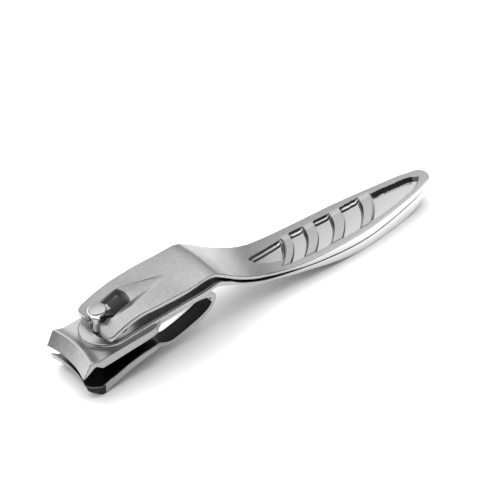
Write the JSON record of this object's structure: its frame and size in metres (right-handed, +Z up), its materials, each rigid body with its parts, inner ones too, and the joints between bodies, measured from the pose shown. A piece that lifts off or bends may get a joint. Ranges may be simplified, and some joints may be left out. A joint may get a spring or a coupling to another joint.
{
  "type": "nail clipper",
  "caption": "Steel nail clipper with curved jaws, a nested lower handle plate and a pressed fork lever with slanting grip pockets, lying folded flat.",
  "frame": {"origin": "on the resting surface, below the middle of the whole clipper", "axes": "+X from the jaws towards the handle tips, +Y across, +Z up; the clipper lies folded flat"},
  "size_m": [0.1006, 0.0134, 0.0164],
  "materials": {
    "jaw_steel": "polished stainless steel with ground bevels",
    "handle_steel": "polished stainless steel",
    "lever_steel": "satin stainless steel with polished edges",
    "stud_steel": "polished"
  },
  "bodies": {
    "frame": {"upper_jaw": "jaw_steel", "spring_loop": "jaw_steel", "lower_handle": "handle_steel"},
    "lower_jaw": {"lower_jaw": "jaw_steel"},
    "pin_foot": {"pin_foot": "stud_steel"},
    "stud": {"stud": "stud_steel"},
    "lever": {"lever": "lever_steel"}
  },
  "joints": [
    {"name": "jaw_close", "type": "hinge", "parent": "frame", "child": "lower_jaw", "pos_m": [-0.0201, 0, 0.007], "axis": [0, 1, 0], "range_deg": [0, 3.9], "stiffness_Nm_per_rad": 12, "deforming": ["spring_loop"]},
    {"name": "pin_lift", "type": "slide", "parent": "frame", "child": "pin_foot", "axis": [-0.0778, 0, 0.997], "range_m": [0, 0.0014]},
    {"name": "lever_swivel", "type": "hinge", "parent": "pin_foot", "child": "stud", "pos_m": [-0.0417, 0, 0.01285], "axis": [-0.0778, 0, 0.997], "continuous": true},
    {"name": "lever_flip", "type": "hinge", "parent": "stud", "child": "lever", "pos_m": [-0.0417, 0, 0.01285], "axis": [0, -1, 0], "range_deg": [0, 172]}
  ],
  "couplings": [
    {"joint": "jaw_close", "follows": "pin_lift", "rad_per_m": 48.31}
  ]
}
